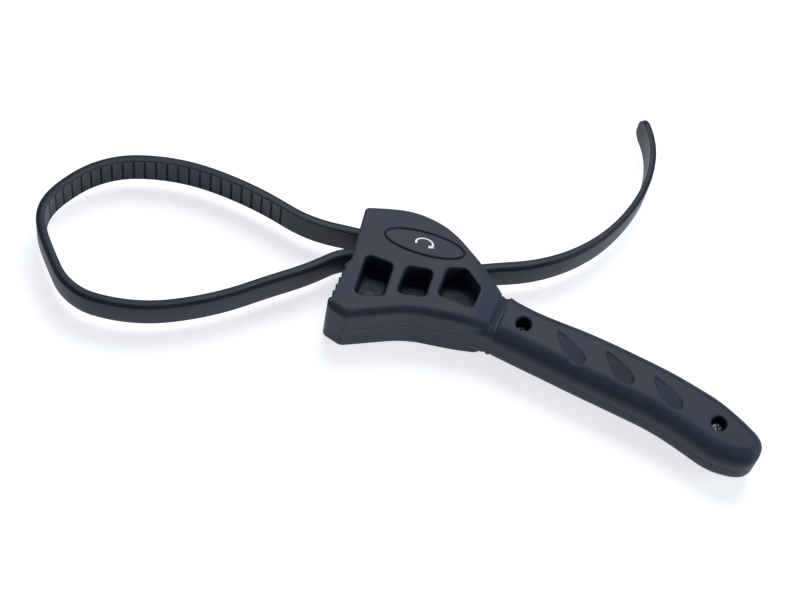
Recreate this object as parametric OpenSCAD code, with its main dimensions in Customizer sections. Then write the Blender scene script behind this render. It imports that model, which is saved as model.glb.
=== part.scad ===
// Rubber strap wrench for oil filters.
//
// A moulded head carries a tang, and two grip shells are screwed over the tang.
// The strap is pinned inside the head by its eye, goes round the filter and comes
// back through the running slot, so pulling the free tail closes the loop.
//
// Millimetres. The tool lies flat with +Z up. +X runs from the loop to the butt of
// the grip. The origin is on the head's lower face, which the tool rests on, on the rib
// between the first two pockets; the anchor pin stands straight across from it in Y.

/* [Head] */
// Thickness of the head, which stands on its lower face
head_h = 34; // [32:1:40]
// Rounding of the head's upper and lower edges
head_edge = 2.4; // [1:0.2:2.6]
// Depth of the three cored pockets, from each face
pocket_depth = 15; // [6:0.5:15.5]
// Corner radius of the cored pockets
pocket_r = 3; // [1:0.5:3.5]
// Teeth cut in the nose that bears on the filter
teeth = 5; // [3:1:5]
// Depth of a tooth
tooth_depth = 2; // [1:0.1:2.4]
// Half length of the oval badge plate
badge_a = 21.6; // [16:0.2:22]
// Half width of the oval badge plate
badge_b = 6.7; // [4:0.1:7]
// Thickness of the badge plate
badge_t = 1.2; // [0.8:0.1:2]
// Groove left round the badge plate
badge_gap = 0.8; // [0.4:0.1:1]

/* [Strap] */
// Width of the strap
strap_w = 18; // [14:1:20]
// Thickness of the strap
strap_t = 5; // [4:0.25:5]
// Clearance on each side of the strap in its slots
slot_clear = 0.7; // [0.5:0.05:0.8]
// Gap left at each bending point between two lengths of strap
bend_gap = 0.4; // [0.3:0.05:0.6]
// Outer radius of the moulded eye
eye_r = 5.2; // [4.5:0.1:5.4]
// Radius of the steel anchor pin
pin_r = 2.5; // [2:0.1:3]
// Length of the anchor pin
pin_l = 28; // [24:1:29]

/* [Grip] */
// Thickness of the grip over both shells
grip_h = 27; // [24:0.5:30]
// Height of the rounding on the grip's edges
grip_round = 7.5; // [6:0.5:9]
// Thickness of the tang inside the grip
tang_h = 6; // [5:0.5:8]
// Width of the tang
tang_w = 15; // [12:0.5:16]
// Fit of the shells round the tang
tang_fit = 0.2; // [0.1:0.05:0.4]
// Radius of the screw recesses
recess_r = 4.4; // [4:0.1:5]

/* [Hidden] */

eps = 0.01;
mid_z = head_h / 2;
strap_z0 = mid_z - strap_w / 2;
strap_z1 = mid_z + strap_w / 2;
slot_half = strap_t / 2 + slot_clear;
slot_z_clear = 0.5;

// Plan positions of the fixed points
pin_at = [0, 31.5];
slot_at = [-19, 19];       // where the running slot turns straight
slot_dir = 5.2;            // its direction, in degrees from +X
slot_len = 54;
neck_at = [55.5, -1.4];    // where the neck leaves the head
neck_dir = -12;
screw_at = [[70.8, -4.6], [179.5, -36.7]];
badge_at = [10.9, 28];
badge_dir = -3.5;

// Lengths of strap, each an arc: [length along the middle, turn to the left]
eye_arcs = [[38, 0], [28, -21.5]];
far_arcs = [[46, 14], [40, 21.5], [36, 37.5]];
mouth_arcs = [[20, 37.5]];
near_arcs = [[24, -9], [22, 2.5], [42, -14.5], [40, -25.5], [28, -50]];
exit_arcs = [[10, 16], [16, -3]];
tail_arcs = [[34, 20], [34, 21], [26, 14], [24, 19], [29, 32]];
bow_reach = 30;            // length of the bow curve's handles
arc_step = 2.5;            // longest straight stretch used in an arc

// Grip and head outlines seen from above: [x, y, corner radius]
head_corners = [[-32.2, -20.8, 0], [-21, -25.4, 4], [14, -13, 45], [53, -13, 3],
                [57.4, 10, 3], [29, 35.4, 20], [13, 43.8, 16], [-3, 45.8, 18],
                [-23.6, 41.3, 0], [-25, 8.6, 0], [-27.6, 5.2, 0]];
grip_corners = [[56.5, -16, 0], [101, -27.6, 60], [147, -39.4, 40], [177, -56, 16],
                [198, -55.6, 11], [205.4, -44.6, 11], [202.4, -33.4, 14], [185, -21.8, 40],
                [145, -6.4, 90], [79, 8.2, 70], [62.6, 12.7, 0]];
pocket_corners = [
    [[-17.6, 13.6], [-2.4, 11.6], [-3.8, -8.6], [-19.8, -11.6]],
    [[4.4, 12.2], [19, 13.2], [17.6, -3.6], [1.8, -5.2]],
    [[25.6, 16.4], [35.6, 18.6], [45.4, 9.6], [43.2, -3], [39, -3.6], [22.8, -0.8]]];

// ---- outlines --------------------------------------------------------------

function unit(v) = v / norm(v);
function dir(a) = [cos(a), sin(a)];
function left(a) = [-sin(a), cos(a)];

// One corner of an outline, turned into an arc of radius r
function corner_arc(before, at, after, r, n) =
    let (a = unit(before - at), b = unit(after - at), half = acos(a * b) / 2)
    r <= 0 || half > 89.8 ? [at] :
    let (centre = at + unit(a + b) * r / sin(half),
         start = at + a * r / tan(half), end = at + b * r / tan(half),
         from = atan2(start.y - centre.y, start.x - centre.x),
         raw = atan2(end.y - centre.y, end.x - centre.x) - from,
         sweep = raw > 180 ? raw - 360 : raw < -180 ? raw + 360 : raw)
    [for (i = [0:n]) centre + r * dir(from + sweep * i / n)];

// A closed outline with every corner [x, y, r] rounded
function rounded(corners, n = 5) =
    let (m = len(corners))
    [for (i = [0:m - 1])
        let (b = corners[(i + m - 1) % m], c = corners[i], a = corners[(i + 1) % m])
        for (p = corner_arc([b.x, b.y], [c.x, c.y], [a.x, a.y], c.z, n)) p];

// The outline moved inwards by d; it runs anticlockwise. Its last few edges, "square"
// of them, stay where they are.
function inset(pts, d, square = 0) =
    let (m = len(pts))
    [for (i = [0:m - 1])
        let (u = unit(pts[i] - pts[(i + m - 1) % m]), v = unit(pts[(i + 1) % m] - pts[i]),
             nu = [-u.y, u.x], nv = [-v.y, v.x], n = unit(nu + nv),
             du = i > m - square || (i == 0 && square > 0) ? 0 : d,
             dv = i >= m - square ? 0 : d,
             turn = nu.x * nv.y - nu.y * nv.x)
        pts[i] + (du == dv ? n * du / (n * nu)
                  : [du * nv.y - dv * nu.y, dv * nu.x - du * nv.x] / turn)];

function same_radius(pts, r) = [for (p = pts) [p.x, p.y, r]];
function reversed(list) = [for (i = [len(list) - 1:-1:0]) list[i]];
function ellipse(a, b, n = 64) = [for (i = [0:n - 1]) [a * cos(360 * i / n), b * sin(360 * i / n)]];

// ---- strap path ------------------------------------------------------------

// Where an arc ends: pose is [x, y, heading]
function arc_end(pose, arc, part = 1) =
    let (l = arc[0] * part, t = arc[1] * part,
         chord = abs(t) < eps ? l : l * sin(t / 2) / (t / 2 * PI / 180),
         p = [pose.x, pose.y] + chord * dir(pose.z + t / 2))
    [p.x, p.y, pose.z + t];

// The poses along a row of arcs, in steps short enough to look round
function along(pose, arcs, i = 0) =
    i >= len(arcs) ? [pose] :
    let (n = ceil(arcs[i][0] / arc_step))
    concat([for (k = [0:n - 1]) arc_end(pose, arcs[i], k / n)],
           along(arc_end(pose, arcs[i]), arcs, i + 1));

function after(pose, arcs, i = 0) =
    i >= len(arcs) ? pose : after(arc_end(pose, arcs[i]), arcs, i + 1);

function turned(pose) = [pose.x, pose.y, pose.z + 180];
function some(list, first, last) = [for (i = [first:last]) list[i]];
function without_first(list) = some(list, 1, len(list) - 1);

eye_start = [pin_at.x, pin_at.y, 180];
far_start = after(eye_start, eye_arcs);
slot_start = [slot_at.x, slot_at.y, slot_dir];
mouth_end = after(turned(slot_start), mouth_arcs);
slot_end = after(slot_start, [[slot_len, 0]]);
tail_start = after(slot_end, exit_arcs);
bow_from = after(far_start, far_arcs);
bow_to = turned(after(mouth_end, near_arcs));

// The bow closes the loop: a cubic curve from the far strand to the near one
function bow_pose(u) =
    let (p0 = [bow_from.x, bow_from.y], p3 = [bow_to.x, bow_to.y],
         p1 = p0 + bow_reach * dir(bow_from.z), p2 = p3 - bow_reach * dir(bow_to.z),
         v = 1 - u,
         p = v * v * v * p0 + 3 * v * v * u * p1 + 3 * v * u * u * p2 + u * u * u * p3,
         d = v * v * (p1 - p0) + 2 * v * u * (p2 - p1) + u * u * (p3 - p2))
    [p.x, p.y, atan2(d.y, d.x)];
function bow(u0, u1, n = 14) = [for (i = [0:n]) bow_pose(u0 + (u1 - u0) * i / n)];

// ---- shapes ----------------------------------------------------------------

// A slab with an outline and rounded upper and lower edges, as rings of the outline
module rounded_slab(pts, h, edge_in, edge_up, square = 0, steps = 3) {
    n = len(pts);
    levels = concat(
        [for (i = [0:steps]) let (a = 90 * i / steps)
            [edge_in * (1 - sin(a)), edge_up * (1 - cos(a))]],
        [for (i = [0:steps]) let (a = 90 - 90 * i / steps)
            [edge_in * (1 - sin(a)), h - edge_up * (1 - cos(a))]]);
    rings = [for (l = levels) [for (p = inset(pts, l[0], square)) [p.x, p.y, l[1]]]];
    sides = [for (k = [0:len(levels) - 2], i = [0:n - 1])
        let (j = (i + 1) % n)
        [k * n + i, (k + 1) * n + i, (k + 1) * n + j, k * n + j]];
    top = (len(levels) - 1) * n;
    polyhedron([for (r = rings) for (p = r) p],
               concat(sides, [[for (i = [0:n - 1]) i]],
                      [[for (i = [n - 1:-1:0]) top + i]]));
}

// A length of strap along its poses, trimmed at the ends that meet a neighbour
module strap_length(poses, trim_start = true, trim_end = true) {
    last = len(poses) - 1;
    function trimmed(i) =
        let (p = poses[i], d = i == 0 && trim_start ? bend_gap / 2
                             : i == last && trim_end ? -bend_gap / 2 : 0,
             q = [p.x, p.y] + d * dir(p.z))
        [q.x, q.y, p.z];
    function side(s) = [for (i = [0:last]) let (p = trimmed(i)) [p.x, p.y] + s * left(p.z)];
    color("#33373f") translate([0, 0, strap_z0]) linear_extrude(strap_w)
        polygon(concat(side(-strap_t / 2), reversed(side(strap_t / 2))));
}

module at_screws() for (i = [0:1]) translate([screw_at[i].x, screw_at[i].y, 0]) children();

// ---- head ------------------------------------------------------------------

taper_x = 35;              // the head thins from here to the neck
taper_drop = 4.5;
neck_h = 21;
neck_w = 24;
neck_len = 18;
neck_back = 8;              // how far it reaches back into the head
tang_end = 0.9;            // share of the grip's length that the tang reaches
grip_x = 57.5;             // where the grip's middle line starts, and its length
grip_len = 147;
taper_end = 61;
nose_top = [-27.6, 5.2];
nose_foot = [-32.2, -20.8];

// Middle line of the grip: x from the neck to the butt, as a shallow curve
function grip_y(x) = let (t = (x - grip_x) / grip_len) -1.6 - 28 * t - 17 * t * t;

module side_profile() {
    translate([0, 100, 0]) rotate([90, 0, 0]) linear_extrude(200)
        polygon([[-60, -1], [taper_x, -1], [taper_x, 0], [taper_end, taper_drop],
                 [taper_end, head_h - taper_drop], [taper_x, head_h],
                 [taper_x, head_h + 1], [-60, head_h + 1]]);
}

// The nose from its top corner down: each tooth slopes in to a root and steps out
// again to its tip, so the teeth bite one way
function nose_teeth() =
    let (run = nose_foot - nose_top, pitch = norm(run) / teeth, down = unit(run),
         inward = [-down.y, down.x])
    [for (i = [1:teeth - 1]) let (tip = nose_top + down * pitch * i)
        for (p = [tip + inward * tooth_depth - down * 0.6, tip]) p];

// The last edges of the head's outline, from the strap's side of the nose through the
// teeth, are square; all the others are rounded
module head_slab()
    rounded_slab(concat(rounded(head_corners), nose_teeth()), head_h, head_edge, head_edge,
                 square = 2 * teeth + 1);

module anchor_slot() {
    translate([0, 0, strap_z0 - slot_z_clear]) {
        h = strap_w + 2 * slot_z_clear;
        translate([pin_at.x, pin_at.y, 0]) cylinder(h = h, r = eye_r + 0.4, $fn = 48);
        linear_extrude(h)
            polygon([[pin_at.x, pin_at.y - slot_half], [pin_at.x, pin_at.y + slot_half],
                     [-19, pin_at.y + slot_half + 0.5], [-35, pin_at.y + slot_half + 2],
                     [-35, pin_at.y - slot_half - 2], [-19, pin_at.y - slot_half - 0.5]]);
    }
}

// The running slot: straight in the middle, opened out at the mouth and the exit for
// the bends of the strap that move in and out as it runs
module running_slot() {
    far_wall = [slot_at - 16 * dir(slot_dir) + (slot_half + 1.5) * left(slot_dir),
                slot_at + slot_half * left(slot_dir),
                slot_at + 43 * dir(slot_dir) + slot_half * left(slot_dir),
                [33, 29.2], [51, 37.5]];
    near_wall = [[-11, 16.4], [-19.4, 14.2], [-26.8, 9.2], [-33, 2.6]];
    exit_wall = [slot_at + 72 * dir(slot_dir) - slot_half * left(slot_dir)];
    translate([0, 0, strap_z0 - slot_z_clear])
        linear_extrude(strap_w + 2 * slot_z_clear)
            polygon(concat(near_wall, far_wall, exit_wall));
}

module pockets() {
    for (corners = pocket_corners, z = [head_h - pocket_depth, -1])
        translate([0, 0, z]) linear_extrude(pocket_depth + 1)
            polygon(rounded(same_radius(reversed(corners), pocket_r)));
}

module tang_outline(grow = 0) {
    n = 14;
    x0 = neck_at.x - 6.5;
    x1 = grip_x + grip_len * tang_end + grow;
    function mid(i) = let (x = x0 + (x1 - x0) * i / n) [x, grip_y(x)];
    w = tang_w / 2 + grow;
    polygon(concat([for (i = [0:n]) mid(i) - [0, w]], [for (i = [n:-1:0]) mid(i) + [0, w]]));
}

module head_body() {
    color("#464d5a") difference() {
        union() {
            difference() {
                intersection() {
                    head_slab();
                    side_profile();
                }
                pockets();
            }
            translate([neck_at.x, neck_at.y, mid_z]) rotate(neck_dir) translate([-neck_back, 0, 0])
                rotate([90, 0, 90]) linear_extrude(neck_len)
                    polygon(rounded([[-neck_w / 2, -neck_h / 2, 5], [neck_w / 2, -neck_h / 2, 5],
                                     [neck_w / 2, neck_h / 2, 5], [-neck_w / 2, neck_h / 2, 5]]));
            translate([0, 0, mid_z - tang_h / 2]) linear_extrude(tang_h) tang_outline();
        }
        anchor_slot();
        running_slot();
        translate([pin_at.x, pin_at.y, -1]) cylinder(h = head_h, r = pin_r, $fn = 48);
        translate([badge_at.x, badge_at.y, head_h - badge_t]) rotate(badge_dir)
            linear_extrude(badge_t + 1)
                polygon(ellipse(badge_a + badge_gap, badge_b + badge_gap));
        at_screws() cylinder(h = head_h, r = screw_r + 0.3, $fn = 32);
    }
}

module badge_plate() {
    color("#3b414d") translate([badge_at.x, badge_at.y, head_h - badge_t]) rotate(badge_dir)
        linear_extrude(badge_t) polygon(ellipse(badge_a, badge_b));
}

module anchor_pin() {
    color("#b9bcc0") translate([pin_at.x, pin_at.y, mid_z - pin_l / 2])
        cylinder(h = pin_l, r = pin_r, $fn = 48);
}

// ---- grip ------------------------------------------------------------------

grip_z0 = mid_z - grip_h / 2;
grip_z1 = mid_z + grip_h / 2;
grip_side = 6.5;           // how far in the rounding of the edges reaches
screw_r = 2;
screw_head_r = 3.7;
screw_head_h = 2.2;
screw_l = 16;
nut_across = 7;
nut_h = 3.2;
nut_side = nut_across / 2 / cos(30);
seat_z = [mid_z + tang_h / 2 + 1.4, grip_z1 - 6.6];   // under each screw's head
nut_top = [for (z = seat_z) z - screw_l + nut_h + 0.4];

// The grip's outer form above or below z
module shell_blank(z) {
    intersection() {
        translate([0, 0, grip_z0])
            rounded_slab(rounded(grip_corners), grip_h, grip_side, grip_round, square = 1);
        translate([40, -80, z]) cube([200, 120, 40]);
    }
}

// Room for the tang and the end of the neck
module tang_room() {
    translate([0, 0, mid_z - tang_h / 2 - tang_fit])
        linear_extrude(tang_h + 2 * tang_fit) tang_outline(tang_fit);
    translate([neck_at.x, neck_at.y, mid_z - neck_h / 2 - tang_fit]) rotate(neck_dir)
        translate([-20, -neck_w / 2 - tang_fit, 0])
            cube([neck_len + 12 + tang_fit, neck_w + 2 * tang_fit, neck_h + 2 * tang_fit]);
}

module grip_upper_shell() {
    color("#414753") difference() {
        shell_blank(mid_z);
        tang_room();
        at_screws() cylinder(h = head_h, r = screw_r + 0.2, $fn = 32);
        for (i = [0:1]) translate([screw_at[i].x, screw_at[i].y, seat_z[i]])
            cylinder(h = head_h, r = recess_r, $fn = 48);
    }
}

module grip_lower_shell() {
    color("#3a404b") difference() {
        shell_blank(mid_z - 40);
        tang_room();
        at_screws() cylinder(h = head_h, r = screw_r + 0.2, $fn = 32);
        for (i = [0:1]) translate([screw_at[i].x, screw_at[i].y, 0])
            cylinder(h = nut_top[i] + 0.1, r = nut_side + 0.2, $fn = 6);
    }
}

module grip_screws() {
    color("#8d9196") for (i = [0:1]) translate([screw_at[i].x, screw_at[i].y, seat_z[i]])
        difference() {
            union() {
                translate([0, 0, -screw_l]) cylinder(h = screw_l, r = screw_r, $fn = 32);
                cylinder(h = screw_head_h, r = screw_head_r, $fn = 48);
            }
            for (a = [0, 90]) rotate(a) translate([-2.2, -0.45, screw_head_h - 1.2])
                cube([4.4, 0.9, 2]);
        }
}

module grip_nuts() {
    color("#9a9da2") for (i = [0:1]) translate([screw_at[i].x, screw_at[i].y, nut_top[i] - nut_h])
        difference() {
            cylinder(h = nut_h, r = nut_side, $fn = 6);
            translate([0, 0, -1]) cylinder(h = nut_h + 2, r = screw_r, $fn = 32);
        }
}

// ---- strap -----------------------------------------------------------------

module strap_eye_length() {
    color("#33373f") difference() {
        union() {
            strap_length(along(eye_start, eye_arcs), trim_start = false);
            translate([pin_at.x, pin_at.y, strap_z0])
                cylinder(h = strap_w, r = eye_r, $fn = 48);
        }
        translate([pin_at.x, pin_at.y, 0]) cylinder(h = head_h, r = pin_r + 0.06, $fn = 48);
    }
}

// A stretch of a row of arcs, from the first to the last one named
function stretch(start, arcs, first, last) =
    along(first == 0 ? start : after(start, some(arcs, 0, first - 1)), some(arcs, first, last));

module strap_far_2() strap_length(stretch(far_start, far_arcs, 0, 0));
module strap_far_3() strap_length(stretch(far_start, far_arcs, 1, 1));
module strap_far_4() strap_length(stretch(far_start, far_arcs, 2, 2));
module strap_far_bow() strap_length(bow(0, 0.5));

module strap_running_length() {
    mouth = [for (p = reversed(along(turned(slot_start), mouth_arcs))) turned(p)];
    strap_length(concat(mouth, without_first(along(slot_start, [[slot_len, 0]])),
                        without_first(along(slot_end, exit_arcs))));
}

module strap_near_1() strap_length(stretch(mouth_end, near_arcs, 0, 1));
module strap_near_2() strap_length(stretch(mouth_end, near_arcs, 2, 2));
module strap_near_3() strap_length(stretch(mouth_end, near_arcs, 3, 3));
module strap_near_4() strap_length(stretch(mouth_end, near_arcs, 4, 4));
module strap_near_bow() strap_length(bow(0.5, 1));

module strap_tail_1() strap_length(stretch(tail_start, tail_arcs, 0, 0));
module strap_tail_2() strap_length(stretch(tail_start, tail_arcs, 1, 2));
module strap_tail_tip() strap_length(stretch(tail_start, tail_arcs, 3, 4), trim_end = false);

head_body();
badge_plate();
anchor_pin();
grip_upper_shell();
grip_lower_shell();
grip_screws();
grip_nuts();
strap_eye_length();
strap_far_2();
strap_far_3();
strap_far_4();
strap_far_bow();
strap_running_length();
strap_near_1();
strap_near_2();
strap_near_3();
strap_near_4();
strap_near_bow();
strap_tail_1();
strap_tail_2();
strap_tail_tip();
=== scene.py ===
import bmesh
import bpy
import math
from mathutils import Matrix, Vector


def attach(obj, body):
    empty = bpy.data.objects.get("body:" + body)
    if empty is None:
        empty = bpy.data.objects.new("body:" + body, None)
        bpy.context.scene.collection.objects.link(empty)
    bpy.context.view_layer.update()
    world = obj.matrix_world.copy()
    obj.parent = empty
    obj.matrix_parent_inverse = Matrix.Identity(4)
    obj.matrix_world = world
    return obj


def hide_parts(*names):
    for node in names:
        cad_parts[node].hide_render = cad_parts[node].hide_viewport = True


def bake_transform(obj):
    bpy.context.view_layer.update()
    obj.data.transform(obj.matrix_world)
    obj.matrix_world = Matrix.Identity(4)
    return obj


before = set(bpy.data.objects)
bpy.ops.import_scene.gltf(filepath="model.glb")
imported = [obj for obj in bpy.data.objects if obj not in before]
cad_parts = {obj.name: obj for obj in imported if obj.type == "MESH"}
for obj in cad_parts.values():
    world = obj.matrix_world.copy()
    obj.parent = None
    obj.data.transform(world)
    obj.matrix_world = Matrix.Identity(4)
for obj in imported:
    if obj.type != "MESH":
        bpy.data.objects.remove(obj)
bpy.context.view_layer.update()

scene = bpy.context.scene
mm = 0.001


def mmVec(x, y, z=0.0):
    return Vector((x * mm, y * mm, z * mm))


def hexColour(text):
    # sRGB hex to the linear colour that the sockets want
    parts = [int(text[i:i + 2], 16) / 255 for i in (1, 3, 5)]
    return tuple(c / 12.92 if c <= 0.04045 else ((c + 0.055) / 1.055) ** 2.4
                 for c in parts) + (1.0,)


def addNode(tree, kind, settings=None, links=None):
    node = tree.nodes.new(kind)
    for key, value in (settings or {}).items():
        if isinstance(key, str) and hasattr(node, key):
            setattr(node, key, value)
        else:
            node.inputs[key].default_value = value
    for socket, (source, output) in (links or {}).items():
        tree.links.new(source.outputs[output], node.inputs[socket])
    return node


def grey(value):
    return (value, value, value, 1.0)


def addTone(tree, source, stops):
    # a texture's value turned to colours, or to greys, by a ramp
    node = addNode(tree, "ShaderNodeValToRGB", {}, {"Fac": source})
    ramp = node.color_ramp
    while len(ramp.elements) > 1:
        ramp.elements.remove(ramp.elements[-1])
    ramp.elements[0].position, ramp.elements[0].color = stops[0]
    for at, colour in stops[1:]:
        ramp.elements.new(at).color = colour
    return node


def addGloss(tree, source, look, shader, stops=(0.3, 0.7)):
    # roughness that drifts around its usual value with a texture
    less, more = look["drift"]
    gloss = addTone(tree, source, [(stops[0], grey(look["rough"] - less)),
                                   (stops[1], grey(look["rough"] + more))])
    tree.links.new(gloss.outputs["Color"], shader.inputs["Roughness"])


cameraSet = {
    "target": (5, 0, 17),      # mm, the point that the camera looks at
    "elevation": 60.0,         # degrees above the table
    "roll": 12.8,
    "distance": 1037.7,        # mm
    "lens": 87.93, "sensor": 36.0,
    "clip": (0.05, 20.0),      # m
}


def makeCamera():
    up = math.radians(cameraSet["elevation"])
    roll = math.radians(cameraSet["roll"])
    look = Vector((0, math.cos(up), -math.sin(up)))
    level = Vector((1, 0, 0))
    rise = Vector((0, math.sin(up), math.cos(up)))
    right = level * math.cos(roll) + rise * math.sin(roll)
    top = rise * math.cos(roll) - level * math.sin(roll)
    data = bpy.data.cameras.new("studioCamera")
    data.lens, data.sensor_width = cameraSet["lens"], cameraSet["sensor"]
    data.clip_start, data.clip_end = cameraSet["clip"]
    camera = bpy.data.objects.new("studioCamera", data)
    place = mmVec(*cameraSet["target"]) - look * cameraSet["distance"] * mm
    camera.matrix_world = Matrix((
        (right.x, top.x, -look.x, place.x), (right.y, top.y, -look.y, place.y),
        (right.z, top.z, -look.z, place.z), (0, 0, 0, 1)))
    scene.collection.objects.link(camera)
    scene.camera = camera


makeCamera()
print("camera placed")


def newMaterial(name):
    material = bpy.data.materials.new(name)
    material.use_nodes = True
    tree = material.node_tree
    tree.nodes.clear()
    out = addNode(tree, "ShaderNodeOutputMaterial")
    shader = addNode(tree, "ShaderNodeBsdfPrincipled")
    tree.links.new(shader.outputs["BSDF"], out.inputs["Surface"])
    return material, tree, shader


def perMetre(sizeMm):
    # noise scale that gives blotches about this many millimetres across
    return 1000.0 / sizeMm


def mouldedPlastic(name, look):
    # cloudy flow marks, a matte grain and edges rubbed a little paler
    material, tree, shader = newMaterial(name)
    where = addNode(tree, "ShaderNodeTexCoord")
    clouds = addNode(tree, "ShaderNodeTexNoise",
                     {"Scale": perMetre(look["cloudMm"]), "Detail": 5.0, "Roughness": 0.55},
                     {"Vector": (where, "Object")})
    cloudTone = addTone(tree, (clouds, "Fac"),
                        [(0.32, hexColour(look["dark"])), (0.68, hexColour(look["pale"]))])
    speck = addNode(tree, "ShaderNodeTexNoise",
                    {"Scale": perMetre(look["grainMm"]), "Detail": 2.0, "Roughness": 0.6},
                    {"Vector": (where, "Object")})
    speckTone = addTone(tree, (speck, "Fac"), [(0.30, grey(look["speckle"][0])),
                                               (0.70, grey(look["speckle"][1]))])
    toned = addNode(tree, "ShaderNodeMix", {"data_type": "RGBA", "blend_type": "MULTIPLY", 0: 1.0})
    tree.links.new(cloudTone.outputs["Color"], toned.inputs[6])
    tree.links.new(speckTone.outputs["Color"], toned.inputs[7])
    shape = addNode(tree, "ShaderNodeNewGeometry")
    rubbed = addTone(tree, (shape, "Pointiness"), [(look["edgeFrom"], grey(0.0)),
                                                   (look["edgeTo"], grey(look["wear"]))])
    worn = addNode(tree, "ShaderNodeMix", {"data_type": "RGBA", 7: hexColour(look["worn"])})
    tree.links.new(rubbed.outputs["Color"], worn.inputs[0])
    tree.links.new(toned.outputs[2], worn.inputs[6])
    tree.links.new(worn.outputs[2], shader.inputs["Base Color"])
    addGloss(tree, (clouds, "Fac"), look, shader)
    shader.inputs["IOR"].default_value = look["ior"]
    shader.inputs["Specular IOR Level"].default_value = look["shine"]
    grain = addNode(tree, "ShaderNodeBump",
                    {"Strength": look["bump"], "Distance": look["grainDepthMm"] * mm},
                    {"Height": (speck, "Fac")})
    waves = addNode(tree, "ShaderNodeBump",
                    {"Strength": look["wave"], "Distance": look["waveDepthMm"] * mm},
                    {"Height": (clouds, "Fac"), "Normal": (grain, "Normal")})
    tree.links.new(waves.outputs["Normal"], shader.inputs["Normal"])
    return material


# Glass-filled nylon, injection moulded with a spark-eroded grain: dull blue-black, soft sheen.
# The real grain is about 0.15 mm; 0.7 mm is the finest that shows at arm's length.
headLook = {"dark": "#282f3b", "pale": "#333b4a", "speckle": (0.86, 1.12),
            "worn": "#4a5466", "wear": 0.5, "edgeFrom": 0.515, "edgeTo": 0.60,
            "cloudMm": 26, "wave": 0.25, "waveDepthMm": 0.12,
            "grainMm": 0.7, "grainDepthMm": 0.05, "bump": 0.30,
            "rough": 0.48, "drift": (0.05, 0.06), "ior": 1.50, "shine": 0.14}
nylonHead = mouldedPlastic("glassFilledNylonHead", headLook)

# The same nylon from a polished cavity: smoother and a touch darker
badgeLook = dict(headLook, dark="#262d39", pale="#303846", bump=0.15, rough=0.45, wear=0.3)
nylonBadge = mouldedPlastic("polishedNylonBadge", badgeLook)

# Polypropylene grip shells with a fine matte grain: a little cooler, even satin
gripLook = dict(headLook, dark="#272e3a", pale="#323a49", cloudMm=34, grainMm=0.6, rough=0.47,
                wear=0.45)
gripPlastic = mouldedPlastic("matteGripShell", gripLook)


def vulcanisedRubber(name, look):
    # satin black strip: faint flow lines along its length and a dusty bloom
    material, tree, shader = newMaterial(name)
    run = addNode(tree, "ShaderNodeAttribute", {"attribute_name": "strapRun"})
    longer = addNode(tree, "ShaderNodeMapping", {"Scale": (look["stretch"], 1.0, 1.0)},
                     {"Vector": (run, "Vector")})
    streak = addNode(tree, "ShaderNodeTexNoise",
                     {"Scale": perMetre(look["streakMm"]), "Detail": 4.0, "Roughness": 0.6},
                     {"Vector": (longer, "Vector")})
    where = addNode(tree, "ShaderNodeTexCoord")
    bloom = addNode(tree, "ShaderNodeTexNoise",
                    {"Scale": perMetre(look["bloomMm"]), "Detail": 4.0, "Roughness": 0.5},
                    {"Vector": (where, "Object")})
    both = addNode(tree, "ShaderNodeMath", {"operation": "ADD"},
                   {0: (streak, "Fac"), 1: (bloom, "Fac")})
    half = addNode(tree, "ShaderNodeMath", {"operation": "MULTIPLY", 1: 0.5}, {0: (both, "Value")})
    tone = addTone(tree, (half, "Value"),
                   [(0.36, hexColour(look["dark"])), (0.64, hexColour(look["pale"]))])
    tree.links.new(tone.outputs["Color"], shader.inputs["Base Color"])
    addGloss(tree, (half, "Value"), look, shader, (0.35, 0.65))
    shader.inputs["IOR"].default_value = look["ior"]
    shader.inputs["Specular IOR Level"].default_value = look["shine"]
    shader.inputs["Sheen Weight"].default_value = look["sheen"]
    shader.inputs["Sheen Roughness"].default_value = look["sheenRough"]
    shader.inputs["Sheen Tint"].default_value = hexColour(look["sheenTint"])
    pores = addNode(tree, "ShaderNodeTexNoise",
                    {"Scale": perMetre(look["poreMm"]), "Detail": 2.0},
                    {"Vector": (where, "Object")})
    skin = addNode(tree, "ShaderNodeBump",
                   {"Strength": look["pore"], "Distance": look["poreDepthMm"] * mm},
                   {"Height": (pores, "Fac")})
    lines = addNode(tree, "ShaderNodeBump",
                    {"Strength": look["line"], "Distance": look["lineDepthMm"] * mm},
                    {"Height": (streak, "Fac"), "Normal": (skin, "Normal")})
    tree.links.new(lines.outputs["Normal"], shader.inputs["Normal"])
    return material


# Natural rubber strip, vulcanised in a mould: satin, slightly blue where the light grazes it.
# The pores are drawn at 0.8 mm, coarser than the real 0.1 mm, so that they show.
strapRubberLook = {"dark": "#161d29", "pale": "#212a39", "bloomMm": 18,
                   "streakMm": 2.2, "stretch": 0.06, "line": 0.20, "lineDepthMm": 0.06,
                   "poreMm": 0.8, "pore": 0.22, "poreDepthMm": 0.04,
                   "rough": 0.42, "drift": (0.05, 0.07), "ior": 1.52, "shine": 0.16,
                   "sheen": 0.03, "sheenRough": 0.45, "sheenTint": "#aeb9cc"}
strapRubber = vulcanisedRubber("vulcanisedStrapRubber", strapRubberLook)


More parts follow.
